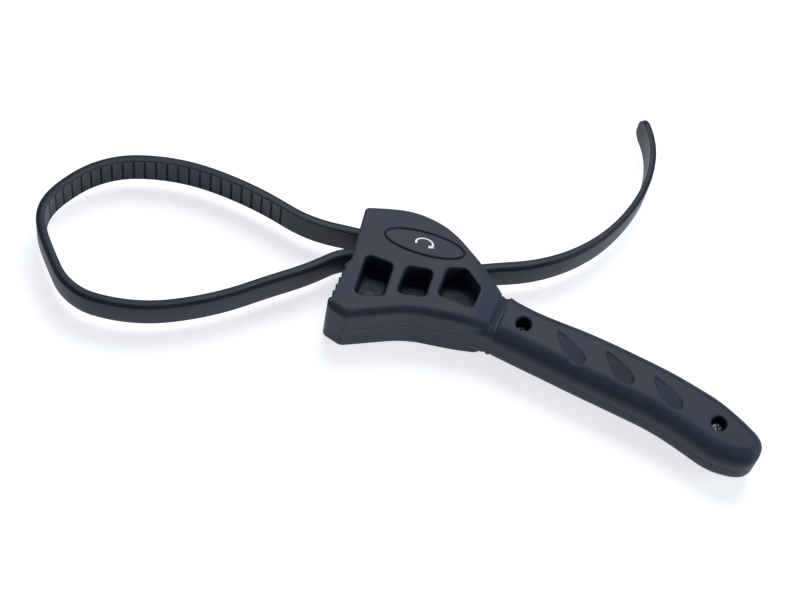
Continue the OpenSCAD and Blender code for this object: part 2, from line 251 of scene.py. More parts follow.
def turnedSteel(name, look):
    # fine tool marks that show as small changes of tone, gloss and height
    material, tree, shader = newMaterial(name)
    where = addNode(tree, "ShaderNodeTexCoord")
    marks = addNode(tree, "ShaderNodeTexNoise",
                    {"Scale": perMetre(look["markMm"]), "Detail": 3.0, "Distortion": 0.6},
                    {"Vector": (where, "Object")})
    tone = addTone(tree, (marks, "Fac"),
                   [(0.3, hexColour(look["dark"])), (0.7, hexColour(look["pale"]))])
    tree.links.new(tone.outputs["Color"], shader.inputs["Base Color"])
    shader.inputs["Metallic"].default_value = 1.0
    addGloss(tree, (marks, "Fac"), look, shader)
    bump = addNode(tree, "ShaderNodeBump",
                   {"Strength": look["bump"], "Distance": look["markDepthMm"] * mm},
                   {"Height": (marks, "Fac")})
    tree.links.new(bump.outputs["Normal"], shader.inputs["Normal"])
    return material


# Carbon steel with black zinc plate: dim grey glints deep in the recesses
zincLook = {"dark": "#3c4048", "pale": "#5d626b", "rough": 0.42, "drift": (0.06, 0.1),
            "markMm": 0.9, "bump": 0.2, "markDepthMm": 0.03}
blackZinc = turnedSteel("blackZincScrew", zincLook)

# Free-cutting steel, turned bright and left bare: pale, with sharper glints
pinLook = dict(zincLook, dark="#8d9196", pale="#b9bcc0", rough=0.30, markMm=0.7)
brightSteel = turnedSteel("turnedSteelPin", pinLook)


def padPrint(name, look):
    # thin ink, a little uneven where it sits on the grain
    material, tree, shader = newMaterial(name)
    where = addNode(tree, "ShaderNodeTexCoord")
    ink = addNode(tree, "ShaderNodeTexNoise", {"Scale": perMetre(look["patchMm"]), "Detail": 3.0},
                  {"Vector": (where, "Object")})
    tone = addTone(tree, (ink, "Fac"),
                   [(0.3, hexColour(look["dark"])), (0.7, hexColour(look["pale"]))])
    tree.links.new(tone.outputs["Color"], shader.inputs["Base Color"])
    shader.inputs["Roughness"].default_value = look["rough"]
    bump = addNode(tree, "ShaderNodeBump",
                   {"Strength": look["bump"], "Distance": look["depthMm"] * mm},
                   {"Height": (ink, "Fac")})
    tree.links.new(bump.outputs["Normal"], shader.inputs["Normal"])
    return material


# Pad-printed white ink: flat and chalky beside the satin nylon
inkLook = {"dark": "#dfe3ea", "pale": "#f4f6fa", "patchMm": 1.2, "rough": 0.5,
           "bump": 0.2, "depthMm": 0.02}
whiteInk = padPrint("whitePadPrint", inkLook)


def paperFloor(name, look):
    # matte background paper with the faintest tooth
    material, tree, shader = newMaterial(name)
    where = addNode(tree, "ShaderNodeTexCoord")
    tooth = addNode(tree, "ShaderNodeTexNoise", {"Scale": perMetre(look["toothMm"]), "Detail": 3.0},
                    {"Vector": (where, "Object")})
    tone = addTone(tree, (tooth, "Fac"),
                   [(0.3, hexColour(look["dark"])), (0.7, hexColour(look["pale"]))])
    tree.links.new(tone.outputs["Color"], shader.inputs["Base Color"])
    shader.inputs["Roughness"].default_value = look["rough"]
    shader.inputs["Specular IOR Level"].default_value = look["shine"]
    shader.inputs["Emission Color"].default_value = hexColour(look["glow"])
    shader.inputs["Emission Strength"].default_value = look["glowStrength"]
    return material


# Uncoated paper on a light table: it glows, so that shadows stay faint
paperLook = {"dark": "#b2b4b7", "pale": "#b8babc", "toothMm": 3.0, "rough": 0.9, "shine": 0.1,
             "glow": "#fbfcff", "glowStrength": 0.75}

print("materials made")


# outlines are seen from above and in millimetres
def cornerArc(before, at, after, radius, steps):
    a, b = (before - at).normalized(), (after - at).normalized()
    half = a.angle(b) / 2
    if radius <= 0 or half > math.radians(89.8):
        return [at.copy()]
    centre = at + (a + b).normalized() * radius / math.sin(half)
    start, end = at + a * radius / math.tan(half), at + b * radius / math.tan(half)
    first = math.atan2(start.y - centre.y, start.x - centre.x)
    sweep = math.atan2(end.y - centre.y, end.x - centre.x) - first
    sweep = (sweep + math.pi) % (2 * math.pi) - math.pi
    return [centre + Vector((math.cos(first + sweep * i / steps),
                             math.sin(first + sweep * i / steps))) * radius
            for i in range(steps + 1)]


def roundedOutline(corners, steps=8, longest=4.0):
    # corners are (x, y, radius), anticlockwise; long straights are cut into shorter ones
    count, points = len(corners), []
    for i, corner in enumerate(corners):
        before, after = corners[i - 1], corners[(i + 1) % count]
        points += cornerArc(Vector(before[:2]), Vector(corner[:2]), Vector(after[:2]),
                            corner[2], steps)
    filled = []
    for i, point in enumerate(points):
        nextPoint = points[(i + 1) % len(points)]
        parts = max(1, math.ceil((nextPoint - point).length / longest))
        filled += [point.lerp(nextPoint, k / parts) for k in range(parts)]
    return filled


def outwardNormals(points, isOpen=False):
    normals, last = [], len(points) - 1
    for i, point in enumerate(points):
        a = (point - points[i - 1]).normalized()
        b = (points[(i + 1) % len(points)] - point).normalized()
        if isOpen and i == 0:
            a = b
        if isOpen and i == last:
            b = a
        normals.append((Vector((a.y, -a.x)) + Vector((b.y, -b.x))).normalized())
    return normals


def smoothThrough(corners, step=1.5):
    # a curve through the points, its ends included
    points = [Vector(c) for c in corners]
    points = [2 * points[0] - points[1]] + points + [2 * points[-1] - points[-2]]
    curve = []
    for a, b, c, d in zip(points, points[1:], points[2:], points[3:]):
        parts = max(2, round((c - b).length / step))
        for k in range(parts):
            t = k / parts
            curve.append(0.5 * (2 * b + (c - a) * t + (2 * a - 5 * b + 4 * c - d) * t * t
                                + (3 * b - a - 3 * c + d) * t ** 3))
    return curve + [points[-2]]


def makeObject(name, verts, faces):
    mesh = bpy.data.meshes.new(name)
    mesh.from_pydata([tuple(v) for v in verts], [], faces)
    mesh.update()
    thing = bpy.data.objects.new(name, mesh)
    scene.collection.objects.link(thing)
    return thing


def ringSolid(name, rings):
    # rings of equal length, from the bottom up, closed with a face at each end
    count = len(rings[0])
    verts = [Vector(p) * mm for ring in rings for p in ring]
    faces = [(k * count + i, k * count + (i + 1) % count,
              (k + 1) * count + (i + 1) % count, (k + 1) * count + i)
             for k in range(len(rings) - 1) for i in range(count)]
    faces.append(tuple(reversed(range(count))))
    faces.append(tuple((len(rings) - 1) * count + i for i in range(count)))
    return faceOutward(makeObject(name, verts, faces))


def faceOutward(thing, weld=0.0):
    body = bmesh.new()
    body.from_mesh(thing.data)
    if weld:
        bmesh.ops.remove_doubles(body, verts=body.verts, dist=weld)
        bmesh.ops.dissolve_degenerate(body, edges=body.edges, dist=weld / 10)
    bmesh.ops.recalc_face_normals(body, faces=body.faces)
    body.to_mesh(thing.data)
    body.free()
    return thing


def splitLargeFaces(thing):
    body = bmesh.new()
    body.from_mesh(thing.data)
    bmesh.ops.triangulate(body, faces=[f for f in body.faces if len(f.verts) > 4])
    body.to_mesh(thing.data)
    body.free()
    return thing


def softSlab(name, points, low, high, edgeOf, steps=8, ridge=0.0, front=0):
    # edgeOf(normal, side) gives how far in and how far down the edge is rounded;
    # front is the number of points on a straight closing face that keeps its square edge
    normals = outwardNormals(points, front > 0)
    rings = []
    for side in (-1, 1):
        edges = [edgeOf(n, side) for n in normals]
        for i in range(steps + 1):
            angle = math.pi / 2 * (i / steps if side < 0 else 1 - i / steps)
            ring = []
            for p, n, (inward, down) in zip(points, normals, edges):
                q = p - n * inward * (1 - math.sin(angle))
                drop = down * (1 - math.cos(angle))
                ring.append(Vector((q.x, q.y, low + drop if side < 0 else high - drop)))
            ring += [ring[-1].lerp(ring[0], (k + 1) / (front + 1)) for k in range(front)]
            rings.append(ring)
        if side < 0 and ridge:
            middle = (low + high) / 2
            for lift, out in ((-0.5, 0.0), (-0.15, ridge), (0.15, ridge), (0.5, 0.0)):
                rings.append([(p.x + n.x * out, p.y + n.y * out, middle + lift)
                              for p, n in zip(points, normals)])
    return ringSolid(name, rings)


def prism(name, points, low, high):
    return ringSolid(name, [[(p[0], p[1], z) for p in points] for z in (low, high)])


def pocketCutter(name, points, mouth, floor, draft=0.7, rim=0.7, fillet=1.6):
    # draft on the walls, a fillet round the floor and a rolled rim at the mouth
    normals = outwardNormals(points)
    sign = 1 if mouth > floor else -1
    levels = []
    for i in range(5):
        angle = math.pi / 2 * i / 4
        levels.append((floor + sign * fillet * (1 - math.cos(angle)),
                       -draft - fillet * (1 - math.sin(angle))))
    for i in range(5):
        angle = math.pi / 2 * i / 4
        levels.append((mouth - sign * rim * (1 - math.sin(angle)), rim * (1 - math.cos(angle))))
    levels.append((mouth + sign * 1.0, rim))
    if sign < 0:
        levels.reverse()
    return ringSolid(name, [[(p.x + n.x * out, p.y + n.y * out, z)
                             for p, n in zip(points, normals)] for z, out in levels])


def lathe(name, profile, centre, segments=64):
    # profile is a closed outline of (radius, z), with one side on the axis or clear of it
    verts, faces = [], []
    count = len(profile)
    for s in range(segments):
        a = 2 * math.pi * s / segments
        for r, z in profile:
            verts.append(mmVec(centre[0] + r * math.cos(a), centre[1] + r * math.sin(a), z))
    for s in range(segments):
        t = (s + 1) % segments
        for i in range(count):
            j = (i + 1) % count
            faces.append((s * count + i, t * count + i, t * count + j, s * count + j))
    return faceOutward(makeObject(name, verts, faces), weld=1e-7)


def combine(base, others, operation):
    for other in others:
        step = base.modifiers.new(operation.lower(), "BOOLEAN")
        step.operation, step.object, step.solver = operation, other, "EXACT"
        other.hide_render = True
    bake(base)
    for other in others:
        bpy.data.objects.remove(other, do_unlink=True)
    return base


def bake(thing):
    bpy.context.view_layer.update()
    mesh = bpy.data.meshes.new_from_object(
        thing.evaluated_get(bpy.context.evaluated_depsgraph_get()))
    old = thing.data
    thing.modifiers.clear()
    thing.data = mesh
    mesh.name = thing.name
    bpy.data.meshes.remove(old)
    return thing


def mouldSkin(thing, voxel, passes, share=0.5):
    # an even skin over the finished cuts, then softened as a mould's worn edges are
    skin = thing.modifiers.new("skin", "REMESH")
    skin.mode, skin.voxel_size = "VOXEL", voxel * mm
    soft = thing.modifiers.new("soft", "SMOOTH")
    soft.iterations, soft.factor = passes, share
    return bake(thing)


def shade(thing, degrees=40):
    mesh = thing.data
    mesh.polygons.foreach_set("use_smooth", [True] * len(mesh.polygons))
    if degrees < 180:
        mesh.set_sharp_from_angle(angle=math.radians(degrees))
    mesh.update()
    return thing


def finishPiece(thing, material, body, nodes=()):
    thing.data.materials.clear()
    thing.data.materials.append(material)
    if nodes:
        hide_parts(*nodes)
    if body:
        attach(thing, body)
    return thing


voxelMm = 0.45


headSet = {
    "near": [(-32.2, -20.8, 3.8), (-21, -25.4, 5.4), (12, -13.4, 60), (53, -12.6, 5.2),
             (57.2, 10, 2.5)],
    "back": [(54.9, 12.7), (48.5, 18.9), (41.9, 25.2), (35.5, 30.6), (29.1, 36.0), (22.9, 40.1),
             (16.8, 42.9), (10.9, 44.6), (5.2, 45.7), (-0.3, 46.0), (-5.7, 45.6),
             (-11.1, 44.8), (-16.4, 43.8), (-20.4, 42.9)],
    "nose": [(-23.9, 42.1, 2.6), (-25, 8.6, 2.6), (-27.6, 5.2, 1.8)],
    "height": 34.0,
    "underEdge": 0.9,
    "topEdge": (1.0, 1.0), "nearRoll": (3.4, 3.2),     # inwards and down, and more when near
    "parting": 0.22,                                   # how far the parting line stands out
    "taperFrom": 35.0, "taperTo": 61.0, "taperDrop": 4.5, "taperEase": 4.0, "taperCuts": 9,
    "pockets": [[(-17.6, 13.6), (-2.4, 11.6), (-3.8, -8.6), (-19.8, -11.6)],
                [(4.4, 12.2), (19, 13.2), (17.6, -3.6), (1.8, -5.2)],
                [(25.6, 16.4), (35.6, 18.6), (45.4, 9.6), (43.2, -3), (39, -3.6),
                 (22.8, -0.8)]],
    "pocketRadius": 3.0, "pocketDepth": 15.0,
    "badgeAt": (10.9, 28.0), "badgeTurn": -3.5, "badgeHalf": (21.6, 6.7),
    "badgeDeep": 1.2, "badgeGap": 0.55,
    "pinAt": (0.0, 31.5), "pinRadius": 2.5, "pinLength": 28.0, "pinGap": 0.25, "boreTop": 33.0,
}
midZ = headSet["height"] / 2


def headEdge(normal, side):
    # a broad roll along the near side's upper edge, tight elsewhere
    if side < 0:
        return headSet["underEdge"], headSet["underEdge"]
    toNear = max(0.0, -normal.y) ** 1.5
    return tuple(edge + more * toNear for edge, more in zip(headSet["topEdge"], headSet["nearRoll"]))


def taperHead(thing):
    # the head thins towards the neck, gently at first
    start, end, drop = (headSet[k] for k in ("taperFrom", "taperTo", "taperDrop"))
    begin, cuts = start - headSet["taperEase"], headSet["taperCuts"]
    body = bmesh.new()
    body.from_mesh(thing.data)
    for k in range(cuts):
        at = (begin + k * (end - start) / (cuts - 2)) * mm
        bmesh.ops.bisect_plane(body, geom=body.verts[:] + body.edges[:] + body.faces[:],
                               plane_co=(at, 0, 0), plane_no=(1, 0, 0))
    for v in body.verts:
        t = min(1.0, max(0.0, (v.co.x / mm - begin) / (end - begin)))
        share = drop * (t * t * (1.6 - 0.6 * t)) / midZ
        v.co.z = midZ * mm + (v.co.z - midZ * mm) * (1 - share)
    body.to_mesh(thing.data)
    body.free()


# "rise" and "land" shape a tooth; "reach", "skim" and "past" take the comb clear of the nose
toothSet = {"count": 6, "depth": 1.7, "rise": 0.7, "land": 0.15,
            "reach": 4.0, "skim": 0.3, "past": 0.5}


def toothComb():
    # one saw-toothed cutter along the nose; each tooth's steep face looks down
    top, foot = Vector(headSet["nose"][-1][:2]), Vector(headSet["near"][0][:2])
    pitch, down = (foot - top).length / toothSet["count"], (foot - top).normalized()
    inward = Vector((-down.y, down.x))
    reach, skim, past = (toothSet[k] for k in ("reach", "skim", "past"))
    comb = [top - inward * reach - down * past, top - inward * skim - down * past]
    for i in range(1, toothSet["count"]):
        tip = top + down * pitch * i
        comb += [tip + inward * toothSet["depth"] - down * toothSet["rise"],
                 tip + inward * toothSet["land"]]
    comb += [foot - inward * skim + down * past, foot - inward * reach + down * past]
    return prism("toothComb", comb, -1, headSet["height"] + 1)


def ellipse(half, centre, turn, count=96):
    a = math.radians(turn)
    points = []
    for i in range(count):
        t = 2 * math.pi * i / count
        x, y = half[0] * math.cos(t), half[1] * math.sin(t)
        points.append(Vector((centre[0] + x * math.cos(a) - y * math.sin(a),
                              centre[1] + x * math.sin(a) + y * math.cos(a))))
    return points


slotSet = {
    "at": (-19, 19), "turn": 5.2, "half": 3.2, "low": 7.5, "high": 26.5,
    "anchor": [(0, 28.3), (0, 34.7), (-19, 35.2), (-35, 36.7), (-35, 26.3), (-19, 27.8)],
    # the running slot opens out where the strap comes in and where it leaves
    "mouth": [(-11, 16.4), (-19.4, 14.2), (-26.8, 9.2), (-33, 2.6)],
    "mouthRun": -16, "mouthFlare": 1.5,
    "exitRun": 43, "exit": [(33, 29.2), (51, 37.5)], "farRun": 72,
    "eyeRoom": 5.6,
}


def slotCutters():
    at, a = Vector(slotSet["at"]), math.radians(slotSet["turn"])
    go, side = Vector((math.cos(a), math.sin(a))), Vector((-math.sin(a), math.cos(a)))
    half, low, high = (slotSet[k] for k in ("half", "low", "high"))

    def beside(run, off):
        return at + go * run + side * off

    running = (slotSet["mouth"]
               + [beside(slotSet["mouthRun"], half + slotSet["mouthFlare"]), beside(0, half),
                  beside(slotSet["exitRun"], half)]
               + slotSet["exit"] + [beside(slotSet["farRun"], -half)])
    eyeRoom = ellipse((slotSet["eyeRoom"], slotSet["eyeRoom"]), headSet["pinAt"], 0, 48)
    return [prism("runningSlot", running, low, high),
            prism("anchorSlot", slotSet["anchor"], low, high),
            prism("eyeRoom", eyeRoom, low - 0.01, high + 0.01)]


neckSet = {"at": (55.5, -1.4), "turn": -12.0, "collarHalf": (13.4, 12.2), "corner": 5.0,
           "back": 8.0, "front": 4.4,
           # where along the neck, and how large the section is there
           "groove": [(0.6, 1.0), (1.0, 0.965), (1.5, 0.95), (2.0, 0.965), (2.4, 1.0)]}


def alongNeck(x, y, z):
    a = math.radians(neckSet["turn"])
    return (neckSet["at"][0] + x * math.cos(a) - y * math.sin(a),
            neckSet["at"][1] + x * math.sin(a) + y * math.cos(a), z)


def neckCollar():
    # rounded bar between the head and the grip, with a shallow groove round it
    wide, tall = neckSet["collarHalf"]
    corners = ((-wide, -tall), (wide, -tall), (wide, tall), (-wide, tall))
    section = roundedOutline([(x, y, neckSet["corner"]) for x, y in corners], 6)
    stations = [(-neckSet["back"], 1.0)] + neckSet["groove"] + [(neckSet["front"], 1.0)]
    return ringSolid("neckCollar", [[alongNeck(x, p.x * size, midZ + p.y * size) for p in section]
                                    for x, size in stations])


gripLine = {"from": 57.5, "length": 147.0, "at": -1.6, "fall": 28.0, "bend": 17.0}
tangSet = {"from": 49, "to": 190, "half": (7.5, 3.0), "rings": 15, "roomFrom": 45, "gap": 0.2}


def gripMiddle(x):
    # the grip's middle line falls away from the head, faster and faster
    t = (x - gripLine["from"]) / gripLine["length"]
    return gripLine["at"] - gripLine["fall"] * t - gripLine["bend"] * t * t


def barInGrip(name, start, end, grow=0.0):
    wide, tall = (half + grow for half in tangSet["half"])
    rings = []
    for i in range(tangSet["rings"]):
        x = start + (end - start) * i / (tangSet["rings"] - 1)
        y = gripMiddle(x)
        rings.append([(x, y - wide, midZ - tall), (x, y + wide, midZ - tall),
                      (x, y + wide, midZ + tall), (x, y - wide, midZ + tall)])
    return ringSolid(name, rings)


ejectorSet = {"marks": [((-11.5, -1.5), 4.2), ((10.5, 1.6), 4.0), ((34.5, 4.0), 4.4)],
              "band": 0.9, "proud": 0.35, "root": 1.0}


def ejectorRings():
    # faint round marks on the pocket floors, left by the ejector pins
    band, proud, root = (ejectorSet[k] for k in ("band", "proud", "root"))
    rings = []
    for i, (at, radius) in enumerate(ejectorSet["marks"]):
        for z in (headSet["height"] - headSet["pocketDepth"], headSet["pocketDepth"]):
            up = 1 if z > midZ else -1
            rings.append(lathe(f"ejector{i}{up}", [
                (radius, z - up * root), (radius, z + up * proud),
                (radius - band, z + up * proud), (radius - band, z - up * root)], at))
    return rings


def makeHead():
    back = [(p.x, p.y, 0) for p in smoothThrough(headSet["back"])]
    points = roundedOutline(headSet["near"] + back + headSet["nose"])
    top, deep = headSet["height"], headSet["pocketDepth"]
    head = softSlab("headMoulding", points, 0.0, top, headEdge, ridge=headSet["parting"])
    taperHead(head)
    cutters = [toothComb()] + slotCutters()
    for i, corners in enumerate(headSet["pockets"]):
        outline = roundedOutline([(x, y, headSet["pocketRadius"]) for x, y in reversed(corners)], 6)
        cutters.append(pocketCutter(f"pocketUp{i}", outline, top, top - deep))
        cutters.append(pocketCutter(f"pocketDown{i}", outline, 0.0, deep))
    seat = [h + headSet["badgeGap"] for h in headSet["badgeHalf"]]
    cutters.append(prism("badgeSeat", ellipse(seat, headSet["badgeAt"], headSet["badgeTurn"]),
                         top - headSet["badgeDeep"], top + 2))
    bore, boreTop = headSet["pinRadius"] + headSet["pinGap"], headSet["boreTop"]
    cutters.append(lathe("pinBore", [(0, -2), (bore, -2), (bore, boreTop), (0, boreTop)],
                         headSet["pinAt"], 48))
    combine(head, cutters, "DIFFERENCE")
    tang = barInGrip("tangBar", tangSet["from"], tangSet["to"])
    combine(head, ejectorRings() + [neckCollar(), tang], "UNION")
    mouldSkin(head, voxelMm, 3)
    shade(head, 180)
    return finishPiece(head, nylonHead, "head", ["head_body"])


# the badge's rim: how far in, and how far below the head's top
badgeRim = [(0.0, 0.5), (0.12, 0.22), (0.45, 0.05), (1.2, 0.01), (2.4, 0.0), (4.0, 0.0), (5.6, 0.0)]


def makeBadge():
    # flat plate, its rim rolled down into the groove
    half, top = headSet["badgeHalf"], headSet["height"]
    rings = []
    for inset, down in [(0.0, headSet["badgeDeep"])] + badgeRim:
        rings.append([(p.x, p.y, top - down) for p in ellipse((half[0] - inset, half[1] - inset),
                                                              headSet["badgeAt"],
                                                              headSet["badgeTurn"])])
    badge = ringSolid("badgePlate", rings)
    shade(badge, 50)
    return finishPiece(badge, nylonBadge, "head", ["badge_plate"])


# angles in degrees; "point" is how far round the arrow's tip reaches, in radians
markSet = {"reach": 4.6, "band": 1.1, "thick": 0.12, "lift": 0.005, "flatten": 0.62,
           "from": 205, "to": -20, "steps": 28, "arrow": 2.6, "point": 0.62}


def makeTurnMark():
    # printed turning arrow: a flat arc with a head
    at, turn = headSet["badgeAt"], math.radians(headSet["badgeTurn"])
    reach, band = markSet["reach"], markSet["band"]
    wide = markSet["arrow"] / 2 + band / 2
    first, last = math.radians(markSet["from"]), math.radians(markSet["to"])
    sweep = [first + (last - first) * i / markSet["steps"] for i in range(markSet["steps"] + 1)]

    def place(radius, a):
        x, y = radius * math.cos(a), radius * math.sin(a) * markSet["flatten"]
        return (at[0] + x * math.cos(turn) - y * math.sin(turn),
                at[1] + x * math.sin(turn) + y * math.cos(turn))

    outline = [place(reach + band / 2, a) for a in sweep]
    outline += [place(reach + wide, last), place(reach, last - markSet["point"]),
                place(reach - wide, last)]
    outline += [place(reach - band / 2, a) for a in reversed(sweep)]
    base = headSet["height"] + markSet["lift"]
    mark = prism("turnMark", outline, base, base + markSet["thick"])
    return finishPiece(splitLargeFaces(mark), whiteInk, "head")


def makePin():
    radius, length = headSet["pinRadius"], headSet["pinLength"]
    low, high = midZ - length / 2, midZ + length / 2
    pin = lathe("anchorPin", [(0, low), (radius - 0.5, low), (radius - 0.15, low + 0.15),
                              (radius, low + 0.5), (radius, high - 0.5),
                              (radius - 0.15, high - 0.15), (radius - 0.5, high), (0, high)],
                headSet["pinAt"])
    shade(pin, 30)
    return finishPiece(pin, brightSteel, "head", ["anchor_pin"])


makeHead()
print("head made")
makeBadge()
makeTurnMark()
makePin()
print("badge and pin made")


gripSet = {
    "outline": [(56.6, -15.4), (63.3, -17.3), (74.8, -20.4), (86.1, -23.4), (97.4, -26.5),
                (108.7, -29.5), (120.0, -32.4), (131.2, -35.3), (142.4, -38.3), (153.6, -42.2),
                (164.9, -47.3), (175.6, -52.4), (182.2, -54.5), (187.7, -55.2), (193.2, -55.2),
                (198.4, -53.9), (202.1, -50.6), (203.9, -46.2), (203.9, -41.8), (201.6, -37.4),
                (196.8, -33.3), (190.4, -28.6), (179.0, -21.7), (167.8, -17.0),
                (156.5, -12.7), (145.4, -9.2), (134.2, -6.1), (123.0, -3.1), (111.9, -0.4),
                (100.7, 1.9), (89.7, 3.8), (78.5, 6.0), (67.1, 9.3), (62.3, 11.4)],
    "height": 27.0,
    "edge": (5.2, 5.4), "nearRoll": (4.0, 3.4),        # inwards and down, and more when near
    "overlap": 0.22,        # each shell passes the middle by this much, so the seam stays shut
    "screws": [(70.8, -4.6), (179.5, -36.7)], "seats": [21.4, 23.9],
    "holeRadius": 2.2, "recessRadius": 4.2,
    "leaves": [(96.9, -12.2), (123.8, -17.5), (150.8, -25.9)], "leafTurn": -45.5,
    "leafHalf": (11.0, 4.3), "leafDeep": 1.9, "leafSteps": 24,
}
nutSet = {"across": 7.0, "thick": 3.2, "below": 12.4, "roomAcross": 7.4, "roomAbove": 0.1}
gripLow, gripHigh = midZ - gripSet["height"] / 2, midZ + gripSet["height"] / 2


def gripEdge(normal, side):
    # the near shoulder rolls over further than the far one
    toNear = max(0.0, -normal.y)
    return tuple(edge + more * toNear for edge, more in zip(gripSet["edge"], gripSet["nearRoll"]))


def leafCutter(i, at):
    # teardrop cut by a tilted plane: deepest along its near edge, run out along the far one
    a = math.radians(gripSet["leafTurn"])
    reach, width = gripSet["leafHalf"]
    rows = []
    for k in range(1, gripSet["leafSteps"]):
        share = k / gripSet["leafSteps"]
        # thin at the start, widest past the middle, blunt at the end
        rows.append((reach * (2 * share - 1),
                     1.4 * width * share ** 0.7 * (1 - share ** 5) ** 0.5))
    outline = ([(-reach, 0.0)] + [(x, -w) for x, w in rows] + [(reach, 0.0)]
               + [(x, w) for x, w in reversed(rows)])
    rings = []
    for isFloor in (True, False):
        ring = []
        for x, y in outline:
            depth = gripSet["leafDeep"] * (0.50 - 0.52 * y / width + 0.22 * x / reach)
            ring.append((at[0] + x * math.cos(a) - y * math.sin(a),
                         at[1] + x * math.sin(a) + y * math.cos(a),
                         gripHigh - depth if isFloor else gripHigh + 4))
        rings.append(ring)
    return ringSolid(f"leafCut{i}", rings)


def halfSpace(low, high):
    # a block larger than the grip, seen from above
    return prism("otherHalf", [(20, -120), (260, -120), (260, 80), (20, 80)], low, high)


def hexagon(at, across):
    # "across" is measured over the flats
    corner = across / 2 / math.cos(math.pi / 6)
    return [(at[0] + corner * math.cos(math.pi / 3 * k),
             at[1] + corner * math.sin(math.pi / 3 * k)) for k in range(6)]


def recessCutter(i, at, seat):
    # straight recess for the screw's head, its mouth a little rolled
    r = gripSet["recessRadius"]
    return lathe(f"recess{i}", [(0, seat), (r - 0.1, seat), (r, seat + 0.1), (r, gripHigh - 0.5),
                                (r + 0.15, gripHigh - 0.15), (r + 0.5, gripHigh),
                                (r + 0.5, gripHigh + 4), (0, gripHigh + 4)], at, 64)


def makeShell(upper):
    name = "gripUpper" if upper else "gripLower"
    shell = softSlab(name, smoothThrough(gripSet["outline"]), gripLow, gripHigh, gripEdge,
                     front=12)
    overlap, hole = gripSet["overlap"], gripSet["holeRadius"]
    away = halfSpace(-10, midZ - overlap) if upper else halfSpace(midZ + overlap, 50)
    room = barInGrip("tangRoom", tangSet["roomFrom"], tangSet["to"] + tangSet["gap"],
                     tangSet["gap"])
    cutters = [away, room]
    for i, (at, seat) in enumerate(zip(gripSet["screws"], gripSet["seats"])):
        cutters.append(lathe(f"screwHole{i}", [(0, -2), (hole, -2), (hole, 40), (0, 40)], at, 32))
        if upper:
            cutters.append(recessCutter(i, at, seat))
        else:
            cutters.append(prism(f"nutRecess{i}", hexagon(at, nutSet["roomAcross"]), -2,
                                 seat - nutSet["below"] + nutSet["roomAbove"]))
    if upper:
        cutters += [leafCutter(i, at) for i, at in enumerate(gripSet["leaves"])]
    combine(shell, cutters, "DIFFERENCE")
    mouldSkin(shell, voxelMm, 2)
    shade(shell, 180)
    node = "grip_upper_shell" if upper else "grip_lower_shell"
    return finishPiece(shell, gripPlastic, "head", [node])


makeShell(True)
makeShell(False)
print("grip shells made")

screwSet = {"headRadius": 3.7, "headHeight": 2.2, "shank": 2.0, "length": 16.0, "tip": 0.5,
            "threadFrom": 0.9, "threadDeep": 0.25, "pitch": 0.8, "plain": 3.0,
            "crossTurn": 20, "crossHalf": (1.8, 0.36),
            "crossLevels": [(0.6, -1.5), (1.0, -0.3), (1.08, 0.5)]}     # size, and height


def screwCross(i, at, top):
    # two crossing cutters that narrow downwards
    wide, thin = screwSet["crossHalf"]
    corners = ((-wide, -thin), (wide, -thin), (wide, thin), (-wide, thin))
    centre, cross = Vector(at), []
    for k in range(2):
        a = math.radians(screwSet["crossTurn"] + 90 * k)
        c, d = Vector((math.cos(a), math.sin(a))), Vector((-math.sin(a), math.cos(a)))
        rings = [[tuple(centre + c * x * size + d * y * size) + (top + lift,) for x, y in corners]
                 for size, lift in screwSet["crossLevels"]]
        cross.append(ringSolid(f"cross{i}{k}", rings))
    return cross


def makeScrew(i):
    at, seat = gripSet["screws"][i], gripSet["seats"][i]
    r, h, s = screwSet["headRadius"], screwSet["headHeight"], screwSet["shank"]
    tip, bevel, pitch = seat - screwSet["length"], screwSet["tip"], screwSet["pitch"]
    profile = [(0, tip), (s - bevel, tip), (s, tip + bevel)]
    z = tip + screwSet["threadFrom"]
    while z < seat - screwSet["plain"]:
        profile += [(s, z), (s - screwSet["threadDeep"], z + pitch / 2)]
        z += pitch
    # the domed head
    profile += [(s, z), (s, seat), (r - 0.25, seat), (r, seat + 0.25), (r, seat + 0.8),
                (r - 0.25, seat + 1.35), (r - 0.9, seat + 1.85), (r - 1.9, seat + h - 0.08),
                (0, seat + h)]
    screw = lathe(f"screw{i + 1}", profile, at)
    combine(screw, screwCross(i, at, seat + h), "DIFFERENCE")
    shade(screw, 35)
    return finishPiece(screw, blackZinc, "head", ["grip_screws"])


def makeNut(i):
    # hexagon with both ends turned down, and a bore with a countersink at each end
    at, top = gripSet["screws"][i], gripSet["seats"][i] - nutSet["below"]
    low, corner = top - nutSet["thick"], nutSet["across"] / 2 / math.cos(math.pi / 6)
    nut = prism(f"nut{i + 1}", hexagon(at, nutSet["across"]), low, top)
    ends = lathe(f"nutTurn{i}", [(0, low - 0.01), (corner - 0.6, low - 0.01),
                                 (corner + 0.02, low + 0.5), (corner + 0.02, top - 0.5),
                                 (corner - 0.6, top + 0.01), (0, top + 0.01)], at)
    combine(nut, [ends], "INTERSECT")
    bore = lathe(f"nutBore{i}", [(0, low - 1), (2.6, low - 1), (2.02, low + 0.4),
                                 (2.02, top - 0.4), (2.6, top + 1), (0, top + 1)], at)
    combine(nut, [bore], "DIFFERENCE")
    shade(nut, 25)
    return finishPiece(nut, blackZinc, "head", ["grip_nuts"])


for i in range(2):
    makeScrew(i)
    makeNut(i)
print("screws and nuts made")


